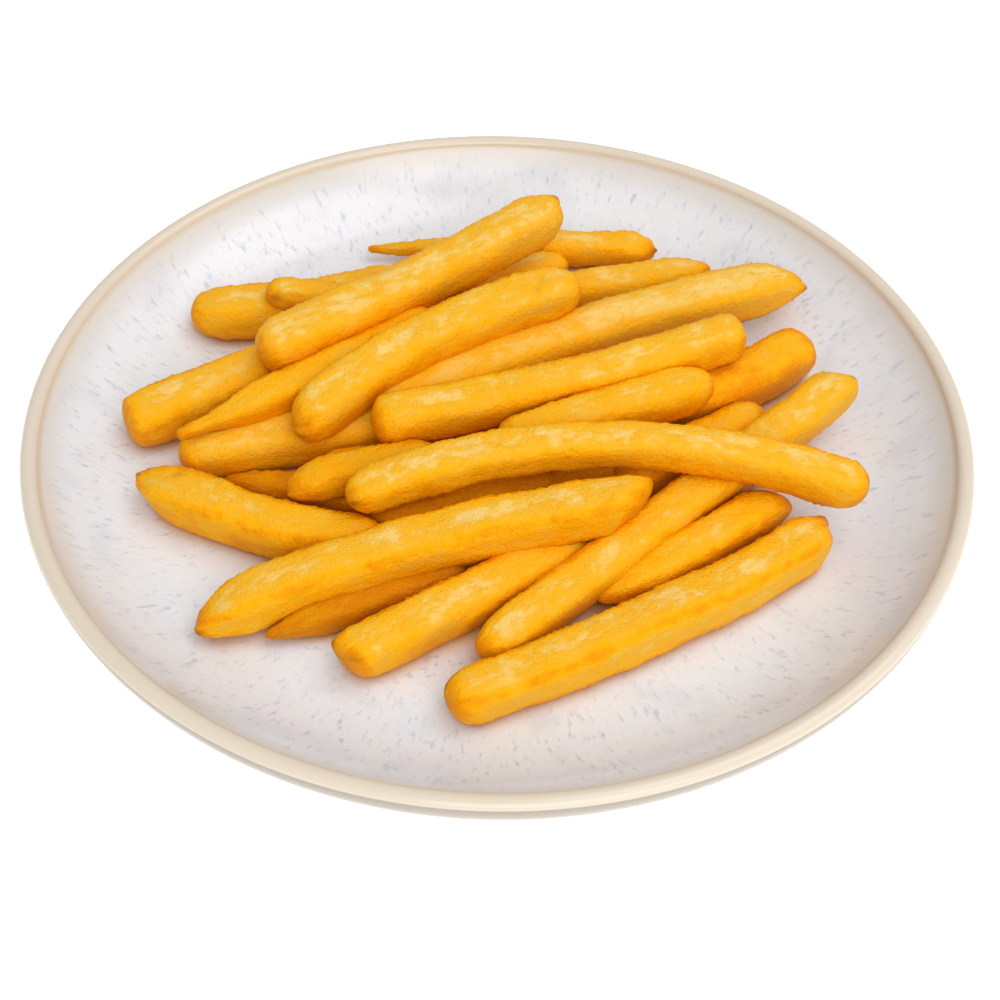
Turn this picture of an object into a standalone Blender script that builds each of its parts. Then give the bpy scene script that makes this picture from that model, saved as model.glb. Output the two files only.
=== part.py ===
"""A portion of french fries heaped on a round stoneware plate.

Metres, +Z up. The origin is on the plate's axis, in the plane of its foot
ring; the diner sits on the -Y side. Two solids: the plate, and the heap of
fries as one body out to its uneven outline, resting in the well.
"""
import math

import bpy
import bmesh
from mathutils import Matrix, Vector

MM = 0.001

# Plate, in mm: a shallow coupe with an upturned wall and a rounded lip.
RIM_RADIUS = 105.0
LIP_INNER_RADIUS = 101.2
LIP_INNER_HEIGHT = 20.6
LIP_TOP_HEIGHT = 22.2
WELL_FLOOR = 6.5
WELL_FLAT_RADIUS = 74.0
WALL_POWER = 2.3
FOOT_RADIUS = 62.0
FOOT_WIDTH = 5.0
FOOT_HEIGHT = 2.0
PLATE_SEGMENTS = 72

GAP = 0.3               # between the fries and the glaze
SIDE_COUNT = 8          # sides of a fry's section
CORNER = 0.60           # where a fry's rounded corner starts, as a share of its half width

GLAZE_COLOUR = (0.80, 0.77, 0.74, 1.0)
FRY_COLOUR = (0.83, 0.42, 0.04, 1.0)

# Tip styles: length over which the fry narrows, in mm, and its end's share of the width.
BLUNT = (3.0, 0.76)
ROUND = (6.0, 0.62)
NARROW = (9.0, 0.50)
POINTED = (14.0, 0.35)
KNIFE = (20.0, 0.24)
TAIL = (28.0, 0.28)
WISP = (46.0, 0.25)

# One row for each fry, in mm and degrees: middle x and y, heading, length along
# the plate, height of the axis at its left and right end, width, bow to the
# left of the heading, arch upwards, left tip, right tip.
FRIES = {
    # on the plate
    "front":        (31, -52.5, 30, 92.5, 12.0, 12.5, 10.8, -3.0, 0.0, ROUND, NARROW),
    "front_inner":  (40.8, -33.7, 35.6, 48.6, 11.0, 11.5, 9.8, -1.7, 0.0, KNIFE, BLUNT),
    "front_left":   (-4.7, -48.5, 35, 61.5, 12.0, 11.5, 10.3, -0.5, 0.0, BLUNT, ROUND),
    "sliver":       (-26.3, -48.7, 26, 45, 10.0, 10.5, 7.5, -0.5, 0.0, KNIFE, ROUND),
    "left_low":     (-51.3, -26.8, -19, 58.6, 12.5, 12.0, 11.4, -2.7, 0.0, POINTED, ROUND),
    "left_mid":     (-43.5, -5, 12, 57, 12.5, 12.5, 11.5, 1.5, 0.0, ROUND, ROUND),
    "left_high":    (-60.7, 14.8, 36, 58.7, 14.0, 13.0, 12.4, -1.3, 0.0, BLUNT, ROUND),
    "back_left":    (-50.5, 45.6, 15, 53, 13.0, 12.0, 11.6, -4.0, 0.0, NARROW, ROUND),
    "back":         (2.5, 69, 0, 75, 10.0, 11.5, 8.0, 0.0, 0.0, WISP, NARROW),
    "back_right":   (22.5, 54.1, 11, 63, 11.5, 12.5, 9.0, -2.0, 0.0, ROUND, POINTED),
    "right_high":   (47.4, 19, 25, 56.8, 12.5, 12.5, 12.0, -6.0, 0.0, ROUND, BLUNT),
    "right_mid":    (44.3, -4.8, 34, 42, 12.0, 12.0, 10.0, 0.5, 0.0, ROUND, NARROW),
    "long_right":   (38.7, -25.3, 43, 113.5, 12.0, 17.0, 10.0, -0.5, 0.0, NARROW, ROUND),
    # inside the heap, hidden by the others or nearly so
    "inner_a":      (-1, 30, 10, 51, 11.5, 11.5, 9.5, 0.0, 0.0, ROUND, ROUND),
    "inner_b":      (5, 13, 9, 51, 11.5, 11.5, 9.5, 0.0, 0.0, ROUND, ROUND),
    "inner_c":      (-12, -10, 8, 57, 11.5, 11.5, 9.5, 0.0, 0.0, ROUND, ROUND),
    "inner_d":      (-7, -22, 17, 42, 12.0, 12.0, 9.0, 0.0, 0.0, ROUND, ROUND),
    "inner_e":      (-7, 40, -16, 36, 15.5, 15.5, 9.0, 0.0, 0.0, ROUND, ROUND),
    "inner_f":      (0, 58, 18, 36, 10.5, 10.5, 7.5, 0.0, 0.0, ROUND, ROUND),
    "inner_g":      (16, -13, 20, 38, 10.8, 10.8, 8.6, 0.0, 0.0, ROUND, ROUND),
    "left_under":   (-43, -17.5, -13, 38, 8.2, 10.6, 7.6, 0.0, 0.0, KNIFE, ROUND),
    # second layer
    "broad_right":  (22.6, 25, 26, 114, 17.0, 17.5, 12.0, 4.0, 0.0, ROUND, POINTED),
    "scarred_end":  (-36, 37, -2, 42, 20.5, 18.5, 7.0, 0.0, 0.0, ROUND, ROUND),
    "short_left":   (-28.6, -20.4, 16, 34.5, 17.0, 18.0, 8.6, 2.5, 0.0, NARROW, ROUND),
    "mid_right":    (24.3, -2.9, 24, 53, 20.0, 21.5, 10.5, 0.5, 0.0, ROUND, NARROW),
    "leaning":      (-14.8, -44.6, 16, 95.4, 12.0, 23.0, 11.0, 5.0, 0.0, POINTED, ROUND),
    "tailed":       (-43, 8, 36, 68, 20.5, 21.5, 9.0, -1.5, 0.0, TAIL, ROUND),
    # on top
    "arched":       (24, -26.9, 3.7, 111.7, 21.0, 18.5, 9.3, 9.5, 6.0, ROUND, ROUND),
    "middle":       (14, 6.1, 19.2, 89, 22.0, 25.0, 10.0, -2.0, 0.0, ROUND, BLUNT),
    "upper":        (-13, 11.1, 35, 77, 23.0, 28.0, 11.8, 5.5, 0.0, NARROW, NARROW),
    "top":          (-20.6, 36.6, 37, 86, 24.0, 29.0, 11.6, -1.5, 0.0, ROUND, NARROW),
}

# Filling under the middle of the heap: centre, half sizes and turn of a low dome.
CORE_CENTRE = (-3.0, -1.0, 8.0)
CORE_HALF_SIZE = (50.0, 26.0, 12.0)
CORE_TURN = 24.0


def well_height(radius):
    """Height of the glaze inside the plate, at a distance from its axis."""
    share = (radius - WELL_FLAT_RADIUS) / (LIP_INNER_RADIUS - WELL_FLAT_RADIUS)
    share = min(max(share, 0.0), 1.0)
    return WELL_FLOOR + (LIP_INNER_HEIGHT - WELL_FLOOR) * share ** WALL_POWER


def well_profile(steps):
    """Points of the inside, from the axis to the lip's inner edge."""
    points = [(0.0, WELL_FLOOR), (WELL_FLAT_RADIUS * 0.6, WELL_FLOOR), (WELL_FLAT_RADIUS, WELL_FLOOR)]
    for i in range(1, steps + 1):
        radius = WELL_FLAT_RADIUS + (LIP_INNER_RADIUS - WELL_FLAT_RADIUS) * (i / steps) ** 0.8
        points.append((radius, well_height(radius)))
    return points


def plate_profile():
    """Closed half section of the plate: inside, lip, outer wall, foot, underside."""
    points = well_profile(6)
    lip_middle = (LIP_INNER_RADIUS + RIM_RADIUS) / 2
    half_width = (RIM_RADIUS - LIP_INNER_RADIUS) / 2
    for angle in (140, 95, 50, 15):
        a = math.radians(angle)
        points.append((lip_middle + half_width * math.cos(a),
                       LIP_INNER_HEIGHT + (LIP_TOP_HEIGHT - LIP_INNER_HEIGHT) * math.sin(a)))
    points += [(RIM_RADIUS, LIP_INNER_HEIGHT - 0.8), (RIM_RADIUS - 0.6, 17.4), (RIM_RADIUS - 1.7, 15.2)]
    for share in (0.12, 0.30, 0.55, 0.80):
        radius = RIM_RADIUS - 1.7 - (RIM_RADIUS - 1.7 - FOOT_RADIUS - 6.0) * share
        points.append((radius, FOOT_HEIGHT + 0.4 + 12.8 * (1.0 - share) ** 3.0))
    points += [
        (FOOT_RADIUS + 1.0, FOOT_HEIGHT + 0.2),
        (FOOT_RADIUS, 0.4), (FOOT_RADIUS - 0.6, 0.0),
        (FOOT_RADIUS - FOOT_WIDTH + 0.6, 0.0), (FOOT_RADIUS - FOOT_WIDTH, 0.4),
        (FOOT_RADIUS - FOOT_WIDTH - 1.0, FOOT_HEIGHT),
        (0.0, FOOT_HEIGHT),
    ]
    return points


def new_material(name, colour, roughness):
    material = bpy.data.materials.new(name)
    material.use_nodes = True
    shader = material.node_tree.nodes["Principled BSDF"]
    shader.inputs["Base Color"].default_value = colour
    shader.inputs["Roughness"].default_value = roughness
    shader.inputs["Metallic"].default_value = 0.0
    material.diffuse_color = colour
    return material


def add_object(name, mesh, collection):
    obj = bpy.data.objects.new(name, mesh)
    collection.objects.link(obj)
    return obj


def turned(name, points, segments, collection):
    """A body turned about Z from a half section in mm."""
    mesh = bpy.data.meshes.new(name)
    bm = bmesh.new()
    verts = [bm.verts.new((r * MM, 0.0, z * MM)) for r, z in points]
    for a, b in zip(verts, verts[1:]):
        bm.edges.new((a, b))
    bm.to_mesh(mesh)
    bm.free()
    obj = add_object(name, mesh, collection)
    screw = obj.modifiers.new("Turn", "SCREW")
    screw.axis = "Z"
    screw.angle = math.tau
    screw.steps = segments
    screw.render_steps = segments
    screw.use_merge_vertices = True
    screw.merge_threshold = 0.00001
    screw.use_smooth_shade = True
    return obj


def narrowing(distance, tip):
    """Share of the full width at a distance from a tip."""
    reach, share = tip
    t = min(max(distance / reach, 0.0), 1.0)
    return share + (1.0 - share) * math.sqrt(1.0 - (1.0 - t) ** 2)


def stations(length, left, right):
    """Distances of a fry's sections from its left end, close together at the tips."""
    ends = [left[0] * k for k in (0.0, 0.12, 0.42, 1.0)]
    ends += [length - right[0] * k for k in (0.0, 0.12, 0.42, 1.0)]
    first, last = left[0], length - right[0]
    between = max(2, round((last - first) / 14.0))
    ends += [first + (last - first) * i / (between + 1) for i in range(1, between + 1)]
    return sorted(ends)


def fry_mesh(name, row):
    """Loft a rounded square section along the fry's bent axis."""
    x, y, heading, length, z_left, z_right, width, bow, arch, left, right = row
    turn = math.radians(heading)
    along = Vector((math.cos(turn), math.sin(turn), 0.0))
    aside = Vector((-along.y, along.x, 0.0))
    middle = Vector((x, y, 0.0))

    def axis_point(share):
        bulge = 4.0 * share * (1.0 - share)
        height = z_left + (z_right - z_left) * share + arch * bulge
        return middle + along * length * (share - 0.5) + aside * bow * bulge + Vector((0, 0, height))

    places = stations(length, left, right)
    bm = bmesh.new()
    bmesh.ops.create_cone(bm, cap_ends=True, cap_tris=False, segments=SIDE_COUNT,
                          radius1=1.0, radius2=1.0, depth=1.0,
                          matrix=Matrix.Rotation(math.pi / SIDE_COUNT, 4, "Z"))
    lengthwise = [e for e in bm.edges if abs(e.verts[0].co.z - e.verts[1].co.z) > 0.5]
    bmesh.ops.subdivide_edges(bm, edges=lengthwise, cuts=len(places) - 2, use_grid_fill=True)
    for vert in bm.verts:
        c, s, h = vert.co
        distance = places[round((h + 0.5) * (len(places) - 1))]
        share = distance / length
        tangent = (axis_point(share + 0.01) - axis_point(share - 0.01)).normalized()
        across = tangent.cross(Vector((0, 0, 1))).normalized()
        upright = across.cross(tangent)
        half = width / 2 * min(narrowing(distance, left), narrowing(length - distance, right))
        u = math.copysign(1.0 if abs(c) > abs(s) else CORNER, c)
        v = math.copysign(1.0 if abs(s) > abs(c) else CORNER, s)
        vert.co = (axis_point(share) + across * (u * half) + upright * (v * half)) * MM
    bmesh.ops.recalc_face_normals(bm, faces=bm.faces[:])
    mesh = bpy.data.meshes.new(name)
    bm.to_mesh(mesh)
    bm.free()
    return mesh


def core_mesh():
    """The low dome of packed fries under the middle of the heap."""
    mesh = bpy.data.meshes.new("fries")
    bm = bmesh.new()
    bmesh.ops.create_uvsphere(bm, u_segments=20, v_segments=10, radius=1.0)
    scale = Matrix.Diagonal((*CORE_HALF_SIZE, 1.0))
    turn = Matrix.Rotation(math.radians(CORE_TURN), 4, "Z")
    place = Matrix.Translation(CORE_CENTRE)
    bmesh.ops.transform(bm, matrix=Matrix.Scale(MM, 4) @ place @ turn @ scale, verts=bm.verts[:])
    bm.to_mesh(mesh)
    bm.free()
    return mesh


for obj in list(bpy.data.objects):
    bpy.data.objects.remove(obj, do_unlink=True)

portion = bpy.data.collections.new("french_fries_portion")
strands = bpy.data.collections.new("strands")
cutters = bpy.data.collections.new("cutters")
for collection in (portion, strands, cutters):
    bpy.context.scene.collection.children.link(collection)

# The plate.
plate = turned("plate", plate_profile(), PLATE_SEGMENTS, portion)
plate.data.materials.append(new_material("glazed_stoneware", GLAZE_COLOUR, 0.30))

# Everything below the surface that the fries rest on.
below = well_profile(8)
below = [(r, z + GAP) for r, z in below]
below += [(RIM_RADIUS + 10.0, below[-1][1]), (RIM_RADIUS + 10.0, -5.0), (0.0, -5.0)]
rest_cutter = turned("rest_cutter", below, PLATE_SEGMENTS, cutters)

# The heap: the core joined with each fry, then trimmed to the plate.
fries = add_object("fries", core_mesh(), portion)
fries.data.materials.append(new_material("fried_potato", FRY_COLOUR, 0.55))
for fry_name, fry_row in FRIES.items():
    add_object("fry_" + fry_name, fry_mesh("fry_" + fry_name, fry_row), strands)

join = fries.modifiers.new("Join fries", "BOOLEAN")
join.operation = "UNION"
join.operand_type = "COLLECTION"
join.collection = strands
join.solver = "EXACT"
join.use_self = False

trim = fries.modifiers.new("Rest on plate", "BOOLEAN")
trim.operation = "DIFFERENCE"
trim.object = rest_cutter
trim.solver = "EXACT"

for obj in list(strands.objects) + list(cutters.objects):
    obj.hide_render = True
    obj.display_type = "WIRE"
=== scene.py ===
import math

import bmesh
import bpy
from mathutils import Matrix, Vector, noise
from mathutils.bvhtree import BVHTree


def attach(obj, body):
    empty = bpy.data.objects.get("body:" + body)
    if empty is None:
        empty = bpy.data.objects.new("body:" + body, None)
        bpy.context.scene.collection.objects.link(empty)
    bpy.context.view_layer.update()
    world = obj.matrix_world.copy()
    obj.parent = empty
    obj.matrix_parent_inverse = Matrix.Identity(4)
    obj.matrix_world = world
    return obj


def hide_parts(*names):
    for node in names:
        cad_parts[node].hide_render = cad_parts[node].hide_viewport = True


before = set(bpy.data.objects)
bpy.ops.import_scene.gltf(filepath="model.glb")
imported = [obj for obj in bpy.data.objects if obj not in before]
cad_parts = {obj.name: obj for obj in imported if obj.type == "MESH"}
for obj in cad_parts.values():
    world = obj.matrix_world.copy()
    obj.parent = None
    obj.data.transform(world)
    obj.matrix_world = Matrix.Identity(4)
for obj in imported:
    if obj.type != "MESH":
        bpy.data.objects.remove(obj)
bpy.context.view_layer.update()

mm = 0.001
print("frame loaded:", sorted(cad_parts))


def toLinear(hexColour):
    parts = [int(hexColour[i:i + 2], 16) / 255 for i in (1, 3, 5)]
    return (*[p / 12.92 if p <= 0.04045 else ((p + 0.055) / 1.055) ** 2.4 for p in parts], 1.0)


def smooth(value, low, high):
    t = min(max((value - low) / (high - low), 0.0), 1.0)
    return t * t * (3 - 2 * t)


# settings go on the node, inputs are values or sockets to link, stops are a ramp's colours
def addNode(tree, kind, settings=None, inputs=None, stops=None):
    node = tree.nodes.new("ShaderNode" + kind)
    for name, value in (settings or {}).items():
        setattr(node, name, value)
    for name, value in (inputs or {}).items():
        if isinstance(value, bpy.types.NodeSocket):
            tree.links.new(value, node.inputs[name])
        else:
            node.inputs[name].default_value = value
    for i, (position, colour) in enumerate(stops or []):
        element = node.color_ramp.elements[i] if i < 2 else node.color_ramp.elements.new(position)
        element.position = position
        element.color = toLinear(colour)
    return node


def newMaterial(name):
    material = bpy.data.materials.new(name)
    material.use_nodes = True
    tree = material.node_tree
    tree.nodes.clear()
    return material, tree


def addPiece(name, bm, material):
    mesh = bpy.data.meshes.new(name)
    bm.to_mesh(mesh)
    bm.free()
    mesh.shade_smooth()
    mesh.materials.append(material)
    piece = bpy.data.objects.new(name, mesh)
    bpy.context.scene.collection.objects.link(piece)
    print(name, "has", len(mesh.polygons), "faces")
    return piece


# ---- camera

cameraLook = {
    "place": (0.0, -245.144, 253.290),  # mm
    "aim": (0.63, -29.4, 20.6),
    "lens": 54.0, "sensor": 36.0,  # mm
    "roll": 1.249,  # degrees
}


def addCamera():
    data = bpy.data.cameras.new("camera")
    data.lens = cameraLook["lens"]
    data.sensor_width = cameraLook["sensor"]
    data.clip_start = 0.01
    data.clip_end = 20.0
    camera = bpy.data.objects.new("camera", data)
    bpy.context.scene.collection.objects.link(camera)
    place = Vector(cameraLook["place"]) * mm
    forward = (Vector(cameraLook["aim"]) * mm - place).normalized()
    turn = forward.to_track_quat("-Z", "Y").to_matrix().to_4x4()
    roll = Matrix.Rotation(math.radians(cameraLook["roll"]), 4, "Z")
    camera.matrix_world = Matrix.Translation(place) @ turn @ roll
    bpy.context.scene.camera = camera


addCamera()
print("camera set")

# ---- fries

# the tip of a fry: length over which it narrows (mm), share of the width left there,
# how hollow the narrowing is, depth of the end's dome (mm)
tips = {
    "blunt": (4, 0.80, 0.6, 2.0),
    "round": (6, 0.60, 0.6, 2.8),
    "narrow": (9, 0.48, 0.7, 2.4),
    "pointed": (14, 0.34, 0.8, 1.8),
    "knife": (20, 0.22, 0.9, 1.6),
    "tail": (27, 0.30, 2.2, 1.2),
    "wisp": (46, 0.26, 1.0, 1.2),
}

# mm and degrees. at is the fry's middle on the plate, rise the height of its axis at its left and right end.
# What a fry doesn't name comes from plainFry.
plainFry = {
    "bow": 0, "arch": 0,  # how far its middle is bent to the left of its heading, and upwards
    "roll": -6, "square": 3.3,  # turn about its axis, and how square its section is (2 is round)
    "swell": (1.0, 1.0, 1.0, 1.0, 1.0),  # shares of its width, from left to right
    "ends": ("round", "round"), "slant": ((0, 0), (0, 0)),  # its tips, and how each is cut across and upwards
    "nibs": (),  # which end, angle round the section, how far it stands out
    "scars": (),  # share of its length, angle, size, depth, brownness
    "toneAndShade": 0.0, "paintedShade": 0.0, "edge": 1.0, "side": 1.0,  # its colour with painted shade on fries lying in shadow, painted shade browning it, how dark its front-top edge stays, and how much painted shade its front and lower side take
    "fine": True,
}
heap = {
    "front": {"at": (31, -52.5), "heading": 30, "length": 92.5, "rise": (12, 12.5), "width": 10.8,
              "bow": -3, "ends": ("round", "narrow"), "square": 3.8, "edge": 2.3, "side": 0.3, "roll": 0,
              "swell": (0.94, 0.98, 1.0, 1.0, 1.0), "nibs": (("right", 130, 2.1), ("left", 150, 0.4))},
    "frontInner": {"at": (40.8, -33.7), "heading": 35.6, "length": 48.6, "rise": (11, 11.5), "width": 9.8,
                   "bow": -1.7, "ends": ("knife", "blunt"), "toneAndShade": 0.1, "slant": ((0, 0), (0.7, 0))},
    "frontLeft": {"at": (-4.7, -48.5), "heading": 35, "length": 61.5, "rise": (12, 11.5), "width": 10.3,
                  "bow": -0.5, "ends": ("blunt", "round"), "square": 3.4, "slant": ((-0.25, 0.1), (0, 0)),
                  "nibs": (("left", 150, 0.6),)},
    # the sliver lies in the shadow of leaning: its darker tone and browning are painted shade
    "sliver": {"at": (-26.3, -48.7), "heading": 26, "length": 45, "rise": (10, 10.5), "width": 7.5,
               "bow": -0.5, "ends": ("knife", "round"), "toneAndShade": 0.5, "paintedShade": 0.45},
    "leftLow": {"at": (-51.3, -26.8), "heading": -19, "length": 58.6, "rise": (12.5, 12), "width": 11.4,
                "bow": -2.7, "ends": ("pointed", "round"), "toneAndShade": 0.1, "edge": 1.8,
                "nibs": (("left", 75, 0.8),), "scars": ((0.17, 115, 1.2, 0.7, 0.4),)},
    "leftMid": {"at": (-43.5, -5), "heading": 12, "length": 57, "rise": (12.5, 12.5), "width": 11.5,
                "bow": 1.5, "toneAndShade": -0.2, "swell": (0.9, 0.97, 1.0, 1.0, 1.0)},
    "leftHigh": {"at": (-60.7, 14.8), "heading": 36, "length": 58.7, "rise": (14, 13), "width": 12.4,
                 "bow": -1.3, "ends": ("blunt", "round"), "swell": (0.9, 0.98, 1.0, 1.04, 1.08),
                 "scars": ((0.4, 70, 0.4, 0.2, 0.5),)},
    "backLeft": {"at": (-50.5, 45.6), "heading": 15, "length": 53, "rise": (13, 12), "width": 11.6,
                 "bow": -4, "ends": ("narrow", "round")},
    "back": {"at": (2.5, 69), "heading": 0, "length": 75, "rise": (10, 11.5), "width": 8,
             "ends": ("wisp", "narrow"), "toneAndShade": 0.05, "swell": (0.8, 0.85, 1.0, 1.0, 1.0),
             "nibs": (("right", 40, 0.9),)},
    "backRight": {"at": (22.5, 54.1), "heading": 11, "length": 63, "rise": (11.5, 12.5), "width": 9,
                  "bow": -2, "ends": ("round", "pointed")},
    "rightHigh": {"at": (47.4, 19), "heading": 25, "length": 56.8, "rise": (12.5, 12.5), "width": 12,
                  "bow": -6, "ends": ("round", "blunt"), "toneAndShade": 0.33},
    "rightMid": {"at": (44.3, -4.8), "heading": 34, "length": 42, "rise": (12, 12), "width": 10,
                 "bow": 0.5, "ends": ("round", "narrow"), "toneAndShade": 0.15},
    "longRight": {"at": (38.7, -25.3), "heading": 43, "length": 113.5, "rise": (12, 17), "width": 10,
                  "bow": -0.5, "ends": ("narrow", "round"), "swell": (0.93, 1.0, 1.0, 1.0, 1.04),
                  "slant": ((0, 0), (0.45, 0)), "nibs": (("right", 60, 0.8),)},
    # hidden under the others; innerD's darker tone and browning are painted shade
    "innerA": {"at": (-1, 30), "heading": 10, "length": 51, "rise": (11.5, 11.5), "width": 9.5,
               "fine": False},
    "innerB": {"at": (5, 13), "heading": 9, "length": 51, "rise": (11.5, 11.5), "width": 9.5,
               "fine": False},
    "innerC": {"at": (-12, -10), "heading": 8, "length": 57, "rise": (11.5, 11.5), "width": 9.5,
               "fine": False},
    "innerD": {"at": (-7, -22), "heading": 17, "length": 42, "rise": (12, 12), "width": 9, "toneAndShade": 0.4,
               "paintedShade": 0.15},
    "innerE": {"at": (-7, 40), "heading": -16, "length": 36, "rise": (15.5, 15.5), "width": 9,
               "fine": False},
    "innerF": {"at": (0, 58), "heading": 18, "length": 36, "rise": (10.5, 10.5), "width": 7.5,
               "fine": False},
    # second layer
    "broadRight": {"at": (22.6, 25), "heading": 26, "length": 114, "rise": (17, 17.5), "width": 12,
                   "bow": 4, "ends": ("round", "pointed"), "roll": -10, "toneAndShade": -0.18, "edge": 1.6,
                   "slant": ((0, 0), (0.5, 0)), "nibs": (("right", 0, 1.1),)},
    "scarredEnd": {"at": (-36, 37), "heading": -2, "length": 42, "rise": (20.5, 18.5), "width": 7,
                   "scars": ((0.07, 20, 1.6, 0.6, 0.5),)},
    # shortLeft lies in shade: its darker tone and browning are painted shade
    "shortLeft": {"at": (-28.6, -20.4), "heading": 16, "length": 34.5, "rise": (17, 18), "width": 8.6,
                  "bow": 2.5, "ends": ("narrow", "round"), "toneAndShade": 0.2, "paintedShade": 0.18,
                  "nibs": (("left", 0, 0.6),), "scars": ((0.12, 120, 0.8, 0.6, 0.3),)},
    "midRight": {"at": (24.3, -2.9), "heading": 24, "length": 53, "rise": (20, 21.5), "width": 10.5,
                 "bow": 0.5, "ends": ("round", "narrow"), "toneAndShade": 0.1},
    "leaning": {"at": (-14.8, -44.6), "heading": 16, "length": 95.4, "rise": (12, 23), "width": 11,
                "bow": 5, "ends": ("pointed", "round"), "square": 3.6, "edge": 2.3, "side": 0.3,
                "roll": -2, "slant": ((0.4, -0.4), (-0.9, 0.25)), "swell": (0.96, 1.0, 1.0, 1.0, 1.0),
                "nibs": (("left", 0, 0.5),)},
    "tailed": {"at": (-43, 8), "heading": 36, "length": 68, "rise": (20.5, 21.5), "width": 9, "bow": -1.5,
               "ends": ("tail", "round"), "toneAndShade": 0.2},
    # on top
    "arched": {"at": (24, -26.9), "heading": 3.7, "length": 111.7, "rise": (21, 18.5), "width": 9.3,
               "bow": 9.5, "arch": 6, "roll": -8, "swell": (0.97, 1.0, 0.96, 1.0, 1.07),
               "nibs": (("left", 30, 0.4),)},
    "middle": {"at": (14, 6.1), "heading": 19.2, "length": 89, "rise": (22, 25), "width": 10, "bow": -2,
               "roll": -10, "ends": ("round", "blunt"), "swell": (1.14, 1.04, 0.98, 1.0, 1.0)},
    "upper": {"at": (-13, 11.1), "heading": 35, "length": 77, "rise": (23, 28), "width": 11.8, "bow": 5.5,
              "ends": ("narrow", "narrow"), "roll": -10, "slant": ((0.35, -0.2), (0, 0)),
              "nibs": (("left", 0, 0.9),),
              "scars": ((0.85, 70, 1.2, 0.5, 0.2), (0.88, 95, 1.2, 0.5, 0.2))},
    "top": {"at": (-20.6, 36.6), "heading": 37, "length": 86, "rise": (24, 28.5), "width": 11.6,
            "bow": -1.5, "ends": ("round", "narrow"), "roll": -8, "toneAndShade": -0.1,
            "swell": (1.0, 1.1, 1.0, 1.0, 1.0), "nibs": (("right", 100, 1.2),)},
    # low down in the gaps; their darker tone and browning are painted shade
    "innerG": {"at": (16, -13), "heading": 20, "length": 38, "rise": (10.8, 10.8), "width": 8.6,
               "toneAndShade": 0.5, "paintedShade": 0.3, "fine": False},
    "leftUnder": {"at": (-43, -17.5), "heading": -13, "length": 38, "rise": (8.2, 10.6), "width": 7.6,
                  "ends": ("knife", "round"), "toneAndShade": 0.5, "paintedShade": 0.35},
}

friesLook = {
    "around": 40, "step": 0.8, "cornerward": 0.35,  # points round a section, mm between sections
    "coarseAround": 24, "coarseStep": 1.7,  # the same for hidden fries
    "domeRings": 5, "domePower": 2.3,
    "endSquare": 2.1, "squaring": 8.0,  # how square an end is, and mm over which it comes to the fry's own
    "lumps": (0.45, 10.0), "swells": (0.26, 4.2), "blisters": (0.13, 1.6),  # height and size, mm
    "ragged": (0.36, 1.1),  # the same along the cut edges
    "wander": (0.5, 26), "twist": (7, 30), "squareChange": (0.9, 13),  # mm, degrees, squareness; each over mm
    "seed": 22,  # of the wander, so that the heap is the same each run
    "broadEdge": (0.35, 0.4), "thinEdge": (0.65, 0.05),  # darkness of a cut edge, and its width
    "nibWidth": 2.0, "nibLength": 1.5,
    "clearance": 0.25,  # mm kept above the glaze
    "shelterRays": 12, "shelterReach": 14.0, "shelterStart": 0.25,  # mm that a ray reaches, and starts off at
    "shelterFade": 0.6, "shelterLaps": 2,  # what a far hit loses, and rounds of smoothing
    "coreCentre": (-3.0, -1.0, 8.0), "coreSize": (42.0, 20.0, 7.5), "coreTurn": 24.0, "coreLumps": (1.2, 7),
}

wellShape = {"floor": 6.5, "flat": 74.0, "edge": 101.2, "edgeHeight": 20.6, "power": 2.3}


def wellHeight(radius):
    share = (radius - wellShape["flat"]) / (wellShape["edge"] - wellShape["flat"])
    share = min(max(share, 0.0), 1.0)
    return wellShape["floor"] + (wellShape["edgeHeight"] - wellShape["floor"]) * share ** wellShape["power"]


def narrowing(distance, tip):  # share of a fry's width left so far from its tip
    reach, share, hollow, dome = tips[tip]
    power = friesLook["domePower"]
    t = min(max(distance / reach, 0.0), 1.0)
    d = min(max(distance / dome, 0.0), 1.0)
    return (share + (1 - share) * math.sin(t * math.pi / 2) ** hollow) * (1 - (1 - d) ** power) ** (1 / power)


def along(values, share):  # a smooth run through a list of values
    place = min(max(share, 0.0), 1.0) * (len(values) - 1)
    i = min(int(place), len(values) - 2)
    t = place - i
    t = t * t * (3 - 2 * t)
    return values[i] * (1 - t) + values[i + 1] * t


def ringPlaces(fry, step):  # distances from the left tip to each section, closer together in the domes
    rings = friesLook["domeRings"]
    leftDome, rightDome = (tips[t][3] for t in fry["ends"])
    curve = [1 - math.cos(math.pi / 2 * i / rings) for i in range(rings)]
    count = max(4, round((fry["length"] - leftDome - rightDome) / step))
    body = [leftDome + (fry["length"] - leftDome - rightDome) * i / count for i in range(count + 1)]
    return [leftDome * c for c in curve] + body + [fry["length"] - rightDome * c for c in reversed(curve)]


def axisPoint(index, fry, share):  # where a fry's axis is, in mm, at a share of its length
    turn = math.radians(fry["heading"])
    ahead = Vector((math.cos(turn), math.sin(turn), 0))
    aside = Vector((-ahead.y, ahead.x, 0))
    low, high = fry["rise"]
    amount, span = friesLook["wander"]
    bulge = 4 * share * (1 - share)
    stray = noise.noise_vector(Vector((share * fry["length"] / span, index * 7.3, 0.5))) * amount * bulge
    side = fry["bow"] * bulge + stray.x
    height = low + (high - low) * share + fry["arch"] * bulge + stray.y * 0.6
    level = Vector((*fry["at"], 0)) + ahead * fry["length"] * (share - 0.5) + aside * side
    return level + Vector((0, 0, height))


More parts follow.
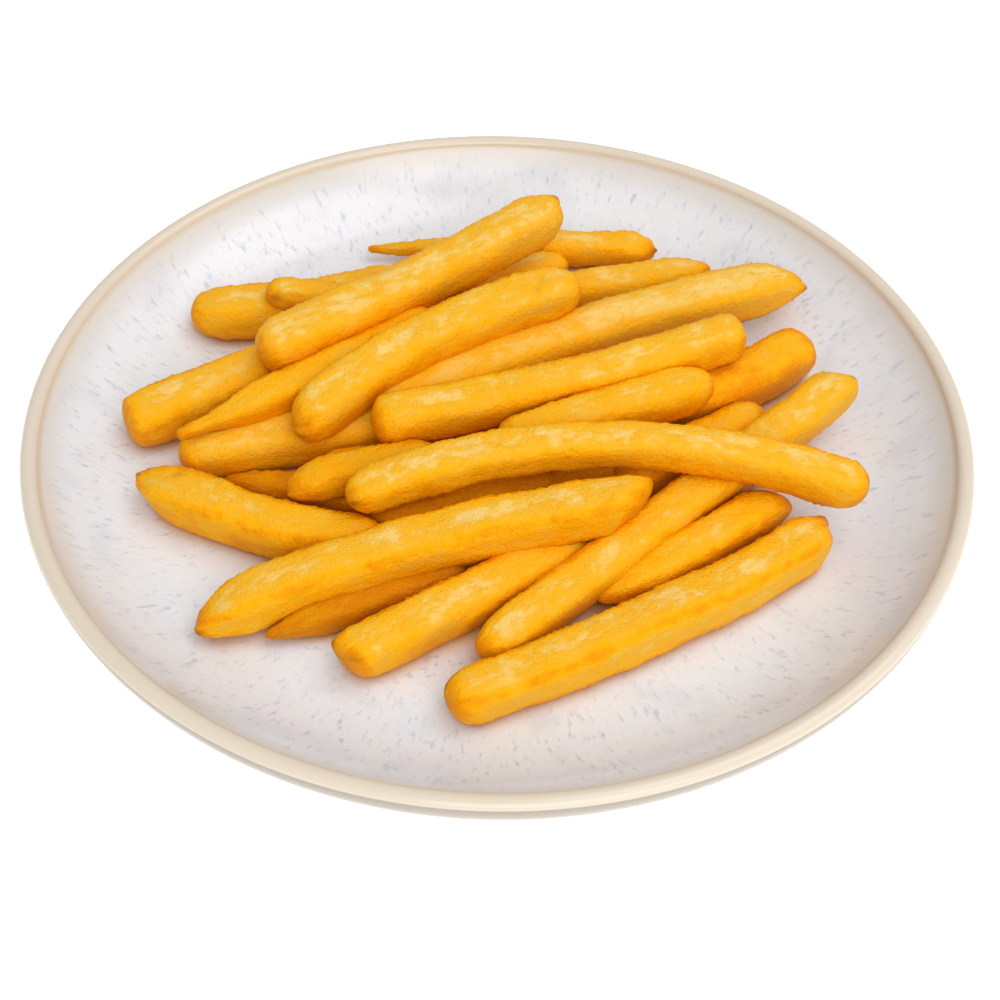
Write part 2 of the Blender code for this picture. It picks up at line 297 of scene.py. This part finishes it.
def fryFrames(index, fry, places):  # centre, forward, across and up at each section
    amount, span = friesLook["twist"]
    frames = []
    for distance in places:
        share = distance / fry["length"]
        tangent = (axisPoint(index, fry, share + 0.01) - axisPoint(index, fry, share - 0.01)).normalized()
        across = tangent.cross(Vector((0, 0, 1))).normalized()
        up = across.cross(tangent)
        twist = math.radians(fry["roll"] + amount * noise.noise(Vector((distance / span, index * 3.1, 9.0))))
        frames.append((axisPoint(index, fry, share), tangent,
                       across * math.cos(twist) + up * math.sin(twist),
                       up * math.cos(twist) - across * math.sin(twist)))
    return frames


def crustRelief(place, corner):  # mm that the crust stands out
    height, span = friesLook["lumps"]
    relief = height * noise.noise(place / span)
    height, span = friesLook["swells"]
    relief += height * noise.noise(Vector((place.x * 0.7, place.y, place.z)) / span)
    height, span = friesLook["blisters"]
    relief += height * noise.noise(place / span)
    height, span = friesLook["ragged"]
    return relief + height * corner ** 6 * (abs(noise.noise(place / span)) * 2 - 0.4)


def arcAway(angle, degrees, half):  # mm round the section from an angle to one in degrees, 57 to a radian
    return abs((math.degrees(angle) - degrees + 180) % 360 - 180) * half / 57


def shapeFry(bm, index, fry, layers):
    look = friesLook
    around = look["around"] if fry["fine"] else look["coarseAround"]
    places = ringPlaces(fry, look["step"] if fry["fine"] else look["coarseStep"])
    frames = fryFrames(index, fry, places)
    sheet = bmesh.ops.create_grid(bm, x_segments=len(places) - 1, y_segments=around, size=1.0)["verts"]
    shift = Vector((37.0 * index, 11.0 * index, 5.0 * index))  # gives each fry its own lumps
    leftTip, rightTip = fry["ends"]

    for vert in sheet:  # rolled up into a closed tube
        ring = round((vert.co.x + 1) / 2 * (len(places) - 1))
        angle = math.tau * (round((vert.co.y + 1) / 2 * around) % around) / around - math.pi
        angle += look["cornerward"] / 4 * math.sin(4 * angle)  # points gather at the edges
        distance = places[ring]
        share = distance / fry["length"]
        centre, tangent, across, up = frames[ring]
        endwise = min(distance, fry["length"] - distance)
        half = fry["width"] / 2 * along(fry["swell"], share)
        size = min(narrowing(distance, leftTip), narrowing(fry["length"] - distance, rightTip))
        body = smooth(size, 0.0, 0.45)

        c, s = math.cos(angle), math.sin(angle)
        corner = abs(math.sin(2 * angle))  # 1 on an edge, 0 in the middle of a face
        amount, span = look["squareChange"]
        power = fry["square"] + amount * noise.noise(Vector((distance / span, c * 2, s * 2 + index * 2.7)))
        power = look["endSquare"] + (power - look["endSquare"]) * smooth(endwise, 0.5, look["squaring"])
        reach = (abs(c) ** power + abs(s) ** power) ** (-1 / power)
        place = Vector((distance, c * half, s * half)) + shift
        radius = half * reach * size + crustRelief(place, corner) * body
        u, v = c * radius, s * radius

        slantAcross, slantUp = fry["slant"][0] if share < 0.5 else fry["slant"][1]
        lean = (slantAcross * c + slantUp * s) * reach * half * size * (1 - smooth(endwise, 0.0, half * 1.8))
        outward = -1 if share < 0.5 else 1
        patchy = smooth(noise.noise(place / 3.5 + Vector((9, 4, 2))), -0.1, 0.5)
        endCorner = corner ** 3 * (1 - smooth(endwise, 0.4, 3.4)) * smooth(size, 0.2, 0.6)
        # real browning at the corners, nibs and scars; the share given to a whole fry is painted shade on
        # fries lying in shadow
        burntAndShade = max(fry["paintedShade"], 0.5 * endCorner * patchy)
        for end, nibAngle, nibSize in fry["nibs"]:  # thin corners that stand out of an end and brown first
            if (end == "left") == (share < 0.5) and size > 0.05:
                sideways = arcAway(angle, nibAngle, half) / look["nibWidth"]
                near = math.exp(-sideways ** 2 - ((endwise - 1.0) / look["nibLength"]) ** 2)
                lean += nibSize * near
                burntAndShade = max(burntAndShade, near ** 2)
        for scarShare, scarAngle, scarSize, scarDepth, scarBrown in fry["scars"]:  # pits and browned spots
            lengthways = distance - scarShare * fry["length"]
            near = math.exp(-(arcAway(angle, scarAngle, half) ** 2 + lengthways ** 2) / scarSize ** 2)
            u, v = u * (1 - scarDepth * near / half), v * (1 - scarDepth * near / half)
            burntAndShade = max(burntAndShade, near * scarBrown)

        point = centre + tangent * (outward * lean) + across * u + up * v
        floor = wellHeight(math.hypot(point.x, point.y)) + look["clearance"]
        if point.z < floor:
            point.z = floor + 0.02 * (floor - point.z)
        vert.co = point * mm

        edge = sum(dark * math.exp(-((1 - corner) / width) ** 2)
                   for dark, width in (look["broadEdge"], look["thinEdge"]))
        edge *= 0.95 + 0.35 * noise.noise(Vector((distance / 6, c * 2, s * 2 + index * 1.9)))
        # painted light: the edge between the top and the front face is kept lighter than the other edges,
        # less so for a higher edge value
        frontTop = smooth(c, 0.1, 0.5) * smooth(s, 0.1, 0.5)
        edge *= 1 - (1 - 0.4 * fry["edge"]) * frontTop
        vert[layers["edge"]] = max(edge, 0.0) * smooth(endwise, 0.5, 5.0)
        # painted shade: faces towards the front and underneath turn deeper orange
        vert[layers["side"]] = smooth(0.75 * c - 0.6 * s, 0.05, 0.95) * fry["side"] * body
        vert[layers["crisp"]] = 1 - smooth(endwise + 0.8 * noise.noise(place / 2.5), 0.3, 5.0)
        vert[layers["burntAndShade"]] = burntAndShade
        # each fry's own tone, and painted shade on fries lying in shadow
        vert[layers["toneAndShade"]] = fry["toneAndShade"]
        vert[layers["fryPlace"]] = place * mm
    bmesh.ops.remove_doubles(bm, verts=sheet, dist=0.000002)


# the share that fries or plate close off round a spot; it paints shade into the fries' crevices and warm
# shade onto the glaze
def shelterShares(bm, layer, tree, restsOnPlate):  # how much of what a spot faces is fries or plate close by
    look = friesLook
    rays = look["shelterRays"]
    fan = []
    for i in range(rays):  # even spread over a hemisphere, denser towards its pole
        lift = math.sqrt(1 - (i + 0.5) / rays)
        level = math.sqrt(1 - lift * lift)
        turn = i * math.pi * (3 - math.sqrt(5))
        fan.append(Vector((math.cos(turn) * level, math.sin(turn) * level, lift)))
    reach = look["shelterReach"] * mm
    for vert in bm.verts:
        facing = vert.normal.to_track_quat("Z", "Y")
        start = vert.co + vert.normal * (look["shelterStart"] * mm)
        height = start.z - wellHeight(math.hypot(start.x, start.y) / mm) * mm
        hits = 0.0
        for ray in fan:
            aim = facing @ ray
            distance = tree.ray_cast(start, aim, reach)[3]
            if distance is None and restsOnPlate and -aim.z * reach > height:
                distance = max(height, 0.0) / -aim.z
            if distance is not None:
                hits += 1 - look["shelterFade"] * distance / reach
        vert[layer] = hits / rays
    for lap in range(look["shelterLaps"]):
        shares = [sum((edge.other_vert(vert)[layer] for edge in vert.link_edges), vert[layer])
                  / (len(vert.link_edges) + 1) for vert in bm.verts]
        for vert, share in zip(bm.verts, shares):
            vert[layer] = share


def addCore(bm, layers):  # a low mound of broken fries under the heap, which shows only in the gaps, where its darker tone is painted shade
    look = friesLook
    verts = bmesh.ops.create_uvsphere(bm, u_segments=36, v_segments=18, radius=1.0)["verts"]
    size = Matrix.Diagonal((*look["coreSize"], 1))
    turn = Matrix.Rotation(math.radians(look["coreTurn"]), 4, "Z")
    place = Matrix.Translation(look["coreCentre"])
    bmesh.ops.transform(bm, matrix=Matrix.Scale(mm, 4) @ place @ turn @ size, verts=verts)
    height, span = look["coreLumps"]
    for vert in verts:
        spot = vert.co / mm
        lift = height * noise.noise(spot / span)
        floor = wellHeight(math.hypot(spot.x, spot.y)) + look["clearance"]
        vert.co.z = max(spot.z + lift, floor) * mm
        # painted shade: the core is given a darker tone
        vert[layers["toneAndShade"]] = 0.5
        vert[layers["fryPlace"]] = vert.co


def addFries(material):
    noise.seed_set(friesLook["seed"])
    bm = bmesh.new()
    marks = ("edge", "side", "crisp", "burntAndShade", "shelterShade", "toneAndShade")
    layers = {name: bm.verts.layers.float.new(name) for name in marks}
    layers["fryPlace"] = bm.verts.layers.float_vector.new("fryPlace")
    for index, given in enumerate(heap.values()):
        shapeFry(bm, index, {**plainFry, **given}, layers)
    addCore(bm, layers)
    bmesh.ops.recalc_face_normals(bm, faces=bm.faces[:])
    tree = BVHTree.FromBMesh(bm)
    shelterShares(bm, layers["shelterShade"], tree, True)
    print("fries made, with the shelter that they give each other")
    return addPiece("fries", bm, material), tree


# Fried potato: a thin, dry, blistered crust over moist starch. Pale yellow where it puffed,
# deeper orange along the cut edges that fry first, brown at the thinnest corners; a soft oily sheen.
# Painted shade turns the front and lower faces deeper orange and darkens crevices and fries lying in shadow;
# painted light keeps the edge between top and front face lighter.
friesFinish = {
    "pale": "#F2CC74", "golden": "#F0B52E", "orange": "#FAB10A", "deep": "#EE9603", "brown": "#964E08",
    "stretch": 0.55,  # patterns are drawn out along a fry
    "patches": 200, "mottle": 620, "blisters": 1500,  # 5 mm, 1.6 mm and 0.6 mm across
    # painted shade: the side share darkens the front and lower faces and the sheltered share the crevices;
    # tone is each fry's own tone, and painted shade on fries lying in shadow
    "darkening": {"toneAndShade": 1.0, "edge": 0.62, "side": 0.36, "crisp": 0.72, "shelterShade": 0.5},
    "creviceShade": 0.4, "browning": 0.85,  # most that painted shade in crevices, and burnt corners with the painted shade of shaded fries, take of the brown
    "roughness": 0.44, "bump": 0.7,
}


def friedPotato():
    material, tree = newMaterial("friedPotato")
    look = friesFinish
    place = addNode(tree, "Attribute", {"attribute_name": "fryPlace"}).outputs["Vector"]
    marks = {name: addNode(tree, "Attribute", {"attribute_name": name}).outputs["Fac"]
             for name in (*look["darkening"], "burntAndShade")}
    mapping = addNode(tree, "Mapping", {"vector_type": "POINT"}, {
        "Vector": place, "Scale": (look["stretch"], 1, 1)})
    lengthwise = mapping.outputs["Vector"]

    patches = addNode(tree, "TexNoise", {}, {
        "Vector": lengthwise, "Scale": look["patches"], "Detail": 3.0, "Roughness": 0.55})
    mottle = addNode(tree, "TexNoise", {}, {
        "Vector": lengthwise, "Scale": look["mottle"], "Detail": 2.0, "Roughness": 0.6})
    both = addNode(tree, "Math", {"operation": "MULTIPLY_ADD"}, {
        0: mottle.outputs["Fac"], 1: 0.7, 2: patches.outputs["Fac"]})
    shade = addNode(tree, "MapRange", {}, {
        "Value": both.outputs[0], "From Min": 0.66, "From Max": 1.04, "To Min": 0.0, "To Max": 0.44})
    for name, share in look["darkening"].items():
        shade = addNode(tree, "Math", {"operation": "MULTIPLY_ADD", "use_clamp": True}, {
            0: marks[name], 1: share, 2: shade.outputs[0]})
    crust = addNode(tree, "ValToRGB", {}, {"Fac": shade.outputs[0]}, [
        (0.0, look["pale"]), (1.0, look["deep"]), (0.26, look["golden"]), (0.62, look["orange"])])

    # painted shade: the most sheltered spots turn brown
    creviceShade = addNode(tree, "MapRange", {"interpolation_type": "SMOOTHSTEP"}, {
        "Value": marks["shelterShade"], "From Min": 0.6, "From Max": 0.9, "To Max": look["creviceShade"]})
    # real browning together with painted shade from crevices and shaded fries
    brownAndShade = addNode(tree, "Math", {"operation": "MULTIPLY_ADD", "use_clamp": True}, {
        0: marks["burntAndShade"], 1: look["browning"], 2: creviceShade.outputs[0]})
    colour = addNode(tree, "Mix", {"data_type": "RGBA"}, {
        0: brownAndShade.outputs[0], 6: crust.outputs["Color"], 7: toLinear(look["brown"])})

    grain = addNode(tree, "TexNoise", {}, {
        "Vector": place, "Scale": look["blisters"], "Detail": 2.0, "Roughness": 0.6})
    relief = addNode(tree, "Math", {"operation": "MULTIPLY_ADD"}, {
        0: mottle.outputs["Fac"], 1: 0.8, 2: grain.outputs["Fac"]})
    bump = addNode(tree, "Bump", {}, {
        "Strength": look["bump"], "Distance": 0.0006, "Height": relief.outputs[0]})
    gloss = addNode(tree, "MapRange", {}, {
        "Value": grain.outputs["Fac"], "From Min": 0.3, "From Max": 0.7,
        "To Min": look["roughness"] - 0.07, "To Max": look["roughness"] + 0.12})
    shader = addNode(tree, "BsdfPrincipled", {"subsurface_method": "RANDOM_WALK"}, {
        "Base Color": colour.outputs[2], "Roughness": gloss.outputs[0], "Normal": bump.outputs[0],
        "IOR": 1.45, "Specular IOR Level": 0.2, "Specular Tint": (1.0, 0.72, 0.25, 1.0),
        "Subsurface Weight": 0.3, "Subsurface Radius": (1.0, 0.50, 0.10), "Subsurface Scale": 0.0018})
    addNode(tree, "OutputMaterial", {}, {"Surface": shader.outputs[0]})
    return material


fries, friesTree = addFries(friedPotato())
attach(fries, "root")
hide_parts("fries")

# ---- plate

plateLook = {  # mm
    "rim": 105.0, "lipTop": 22.2,
    "foot": 62.0, "footWidth": 5.0, "footHeight": 2.0,
    "underLip": 1.7, "wallRise": 12.8,  # the outer wall under the lip: how far in, and how far above its foot
    "segments": 288, "wallSteps": 26, "floorStep": 2, "outerSteps": 12,
}


def plateProfile():
    look, well = plateLook, wellShape
    points = [(radius, well["floor"]) for radius in range(0, int(well["flat"]) + 1, look["floorStep"])]
    for i in range(1, look["wallSteps"] + 1):
        radius = well["flat"] + (well["edge"] - well["flat"]) * (i / look["wallSteps"]) ** 0.8
        points.append((radius, wellHeight(radius)))
    rim = look["rim"]
    middle, halfWidth = (well["edge"] + rim) / 2, (rim - well["edge"]) / 2
    for angle in range(165, -1, -15):
        a = math.radians(angle)
        points.append((middle + halfWidth * math.cos(a),
                       well["edgeHeight"] + (look["lipTop"] - well["edgeHeight"]) * math.sin(a)))
    points += [(rim, 19.8), (rim - 0.2, 18.6), (rim - 0.6, 17.4), (rim - 1.1, 16.3)]
    foot, footHeight = look["foot"], look["footHeight"]
    inner = foot - look["footWidth"]
    start = rim - look["underLip"]
    for i in range(look["outerSteps"] + 1):
        share = i / look["outerSteps"]
        radius = start - (start - foot - 6.0) * share
        points.append((radius, footHeight + 0.4 + look["wallRise"] * (1 - share) ** 3))
    points += [(foot + 3.0, 2.3), (foot + 1.0, footHeight), (foot + 0.3, 1.4), (foot, 0.5), (foot - 0.5, 0.0)]
    points += [(inner + 0.5, 0.0), (inner, 0.5), (inner - 0.3, 1.4), (inner - 1.0, footHeight)]
    points += [(radius, footHeight) for radius in (40.0, 20.0, 0.0)]
    return points


def addPlate(material):
    bm = bmesh.new()
    warmShade = bm.verts.layers.float.new("warmShade")
    verts = [bm.verts.new((radius * mm, 0, height * mm)) for radius, height in plateProfile()]
    edges = [bm.edges.new(pair) for pair in zip(verts, verts[1:])]
    bmesh.ops.spin(bm, geom=verts + edges, cent=(0, 0, 0), axis=(0, 0, 1), angle=math.tau,
                   steps=plateLook["segments"], use_merge=True)
    bmesh.ops.remove_doubles(bm, verts=bm.verts[:], dist=0.00001)
    bmesh.ops.recalc_face_normals(bm, faces=bm.faces[:])
    # painted warm shade: how much the fries close round each spot of the glaze
    shelterShares(bm, warmShade, friesTree, False)
    return addPiece("plate_glazed", bm, material)


# Stoneware, thrown and dipped: a milky glaze inside with blue-grey specks that ran down the wall
# before it set, thin and cream where it breaks over the lip, tan at the break, beige outside;
# the foot ring is wiped bare.
plateFinish = {
    "milk": "#E4E6EA", "speck": "#ADB5C5", "haze": "#D2D6DE", "warmMilk": "#DAD4CC",
    "break": "#DED0BB", "lip": "#DACDBA", "outside": "#A3988A", "bare": "#C6AE92", "warmShade": "#DDA758",
    "roughness": 0.18,
    "runsAround": 66.0, "runsAlong": 370.0,  # specks on the wall, 1 mm wide and 2 to 3 mm long
    "dots": 620.0, "groups": 90.0, "ripple": 160.0,  # 1.2 mm, 10 mm and 6 mm across
    "dotsToRuns": (0.064, 0.080),  # radii in metres, from here on
    "warming": (0.095, 0.1015),
    "specksEnd": (0.097, 0.1012),
    "lipZone": (0.1005, 0.1055),
    "lipStart": (0.1004, 0.1008),
    "outerStart": (0.1026, 0.1034),
    "bareBelow": (0.0012, 0.0006),  # height of the foot ring that is wiped
    "wallFacing": (0.34, 0.16), "underFacing": (0.0, -0.1),  # how far up the surface faces there
    # painted warm shade and bounce light round the fries
    "warmShadeShelter": (0.34, 0.8), "warmShadeShare": 0.8,
}


def glazedStoneware():
    material, tree = newMaterial("glazedStoneware")
    look = plateFinish
    place = addNode(tree, "TexCoord").outputs["Object"]
    parts = addNode(tree, "SeparateXYZ", {}, {"Vector": place})
    flat = addNode(tree, "CombineXYZ", {}, {"X": parts.outputs["X"], "Y": parts.outputs["Y"]})
    radius = addNode(tree, "VectorMath", {"operation": "LENGTH"}, {0: flat.outputs[0]}).outputs["Value"]
    heading = addNode(tree, "VectorMath", {"operation": "NORMALIZE"}, {0: flat.outputs[0]}).outputs["Vector"]

    # on the wall, specks drawn out along the radius
    spread = addNode(tree, "VectorMath", {"operation": "SCALE"}, {0: heading, "Scale": look["runsAround"]})
    lift = addNode(tree, "Math", {"operation": "MULTIPLY"}, {0: radius, 1: look["runsAlong"]})
    liftVector = addNode(tree, "CombineXYZ", {}, {"Z": lift.outputs[0]})
    polar = addNode(tree, "VectorMath", {"operation": "ADD"}, {
        0: spread.outputs[0], 1: liftVector.outputs[0]})
    runs = addNode(tree, "TexNoise", {}, {
        "Vector": polar.outputs[0], "Scale": 1.0, "Detail": 3.0, "Roughness": 0.62})
    runMask = addNode(tree, "MapRange", {"interpolation_type": "SMOOTHSTEP"}, {
        "Value": runs.outputs["Fac"], "From Min": 0.53, "From Max": 0.79})
    # in the flat of the well, dots in loose groups
    dots = addNode(tree, "TexNoise", {}, {
        "Vector": place, "Scale": look["dots"], "Detail": 3.0, "Roughness": 0.6})
    groups = addNode(tree, "TexNoise", {}, {
        "Vector": place, "Scale": look["groups"], "Detail": 2.0, "Roughness": 0.5})
    dotBase = addNode(tree, "Math", {"operation": "MULTIPLY_ADD"}, {
        0: groups.outputs["Fac"], 1: 0.5, 2: dots.outputs["Fac"]})
    dotMask = addNode(tree, "MapRange", {"interpolation_type": "SMOOTHSTEP"}, {
        "Value": dotBase.outputs[0], "From Min": 0.8, "From Max": 1.02})
    start, end = look["dotsToRuns"]
    onWall = addNode(tree, "MapRange", {"interpolation_type": "SMOOTHSTEP"}, {
        "Value": radius, "From Min": start, "From Max": end})
    specks = addNode(tree, "Mix", {"data_type": "FLOAT"}, {
        0: onWall.outputs[0], 2: dotMask.outputs[0], 3: runMask.outputs[0]})

    # milk with a cool haze, warmer up by the lip, and the specks on it, which end below the lip
    haze = addNode(tree, "MapRange", {"interpolation_type": "SMOOTHSTEP"}, {
        "Value": groups.outputs["Fac"], "From Min": 0.5, "From Max": 0.75, "To Max": 0.5})
    hazy = addNode(tree, "Mix", {"data_type": "RGBA"}, {
        0: haze.outputs[0], 6: toLinear(look["milk"]), 7: toLinear(look["haze"])})
    start, end = look["warming"]
    warm = addNode(tree, "MapRange", {"interpolation_type": "SMOOTHSTEP"}, {
        "Value": radius, "From Min": start, "From Max": end})
    milk = addNode(tree, "Mix", {"data_type": "RGBA"}, {
        0: warm.outputs[0], 6: hazy.outputs[2], 7: toLinear(look["warmMilk"])})
    start, end = look["specksEnd"]
    fade = addNode(tree, "MapRange", {"interpolation_type": "SMOOTHSTEP"}, {
        "Value": radius, "From Min": start, "From Max": end, "To Min": 0.75, "To Max": 0.0})
    speckShare = addNode(tree, "Math", {"operation": "MULTIPLY"}, {0: specks.outputs[0], 1: fade.outputs[0]})
    speckled = addNode(tree, "Mix", {"data_type": "RGBA"}, {
        0: speckShare.outputs[0], 6: milk.outputs[2], 7: toLinear(look["speck"])})

    # painted warm shade and bounce light on the glaze close round the fries
    warmShade = addNode(tree, "Attribute", {"attribute_name": "warmShade"}).outputs["Fac"]
    start, end = look["warmShadeShelter"]
    warmShadeShare = addNode(tree, "MapRange", {"interpolation_type": "SMOOTHSTEP"}, {
        "Value": warmShade, "From Min": start, "From Max": end, "To Max": look["warmShadeShare"]})
    inside = addNode(tree, "Mix", {"data_type": "RGBA"}, {
        0: warmShadeShare.outputs[0], 6: speckled.outputs[2], 7: toLinear(look["warmShade"])})

    # the lip and its tan break line
    start, end = look["lipZone"]
    zone = addNode(tree, "MapRange", {}, {"Value": radius, "From Min": start, "From Max": end})
    lipColour = addNode(tree, "ValToRGB", {}, {"Fac": zone.outputs[0]}, [
        (0.0, look["warmMilk"]), (1.0, look["lip"]), (0.15, look["break"]), (0.25, look["lip"])])
    start, end = look["lipStart"]
    onLip = addNode(tree, "MapRange", {}, {"Value": radius, "From Min": start, "From Max": end})
    upper = addNode(tree, "Mix", {"data_type": "RGBA"}, {
        0: onLip.outputs[0], 6: inside.outputs[2], 7: lipColour.outputs["Color"]})

    # outside and underneath, told by the way that the surface faces; the foot ring by its height
    facing = addNode(tree, "NewGeometry")
    normal = addNode(tree, "SeparateXYZ", {}, {"Vector": facing.outputs["Normal"]})
    start, end = look["wallFacing"]
    upright = addNode(tree, "MapRange", {}, {
        "Value": normal.outputs["Z"], "From Min": start, "From Max": end})
    start, end = look["outerStart"]
    outer = addNode(tree, "MapRange", {}, {"Value": radius, "From Min": start, "From Max": end})
    wall = addNode(tree, "Math", {"operation": "MULTIPLY"}, {0: upright.outputs[0], 1: outer.outputs[0]})
    start, end = look["underFacing"]
    under = addNode(tree, "MapRange", {}, {
        "Value": normal.outputs["Z"], "From Min": start, "From Max": end})
    outsideShare = addNode(tree, "Math", {"operation": "MAXIMUM"}, {
        0: wall.outputs[0], 1: under.outputs[0]})
    start, end = look["bareBelow"]
    bareShare = addNode(tree, "MapRange", {}, {
        "Value": parts.outputs["Z"], "From Min": start, "From Max": end})
    outside = addNode(tree, "Mix", {"data_type": "RGBA"}, {
        0: bareShare.outputs[0], 6: toLinear(look["outside"]), 7: toLinear(look["bare"])})
    colour = addNode(tree, "Mix", {"data_type": "RGBA"}, {
        0: outsideShare.outputs[0], 6: upper.outputs[2], 7: outside.outputs[2]})

    waves = addNode(tree, "TexNoise", {}, {"Vector": place, "Scale": look["ripple"], "Detail": 2.0})
    bump = addNode(tree, "Bump", {}, {
        "Strength": 0.12, "Distance": 0.0004, "Height": waves.outputs["Fac"]})
    gloss = addNode(tree, "Math", {"operation": "MULTIPLY_ADD"}, {
        0: bareShare.outputs[0], 1: 0.5, 2: look["roughness"]})
    shader = addNode(tree, "BsdfPrincipled", {}, {
        "Base Color": colour.outputs[2], "Roughness": gloss.outputs[0], "Normal": bump.outputs[0],
        "IOR": 1.5, "Specular IOR Level": 0.5})
    addNode(tree, "OutputMaterial", {}, {"Surface": shader.outputs[0]})
    return material


plate = addPlate(glazedStoneware())
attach(plate, "root")
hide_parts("plate")

# ---- floor and light

lightLook = {  # metres and watts
    "floor": "#FAFAFA", "floorSize": 4.0, "glow": 0.5, "world": "#FFFFFF", "worldStrength": 0.56,
    "key": {"place": (0.6, 0.1, 1.35), "size": 1.1, "power": 6.6, "colour": "#FFFFFF"},
    "fill": {"place": (0.3, -1.1, 1.0), "size": 1.3, "power": 11.5, "colour": "#FFFFFF"},
}


def addFloor():
    material, tree = newMaterial("paleFloor")
    shader = addNode(tree, "BsdfPrincipled", {}, {
        "Base Color": toLinear(lightLook["floor"]), "Roughness": 0.9, "Specular IOR Level": 0.1,
        "Emission Color": toLinear("#FFFFFF"), "Emission Strength": lightLook["glow"]})
    addNode(tree, "OutputMaterial", {}, {"Surface": shader.outputs[0]})
    bm = bmesh.new()
    bmesh.ops.create_grid(bm, x_segments=4, y_segments=4, size=lightLook["floorSize"])
    addPiece("floor", bm, material)


def addLight(name, look):
    data = bpy.data.lights.new(name, "AREA")
    data.shape = "DISK"
    data.size = look["size"]
    data.energy = look["power"]
    data.color = toLinear(look["colour"])[:3]
    light = bpy.data.objects.new(name, data)
    bpy.context.scene.collection.objects.link(light)
    light.location = look["place"]
    light.rotation_euler = (-Vector(look["place"])).to_track_quat("-Z", "Y").to_euler()


def addWorld():
    world = bpy.data.worlds.new("studio")
    world.use_nodes = True
    background = world.node_tree.nodes["Background"]
    background.inputs["Color"].default_value = toLinear(lightLook["world"])
    background.inputs["Strength"].default_value = lightLook["worldStrength"]
    bpy.context.scene.world = world


addFloor()
addLight("keyLight", lightLook["key"])
addLight("fillLight", lightLook["fill"])
addWorld()
bpy.context.scene.view_settings.view_transform = "Standard"
print("floor and light set")
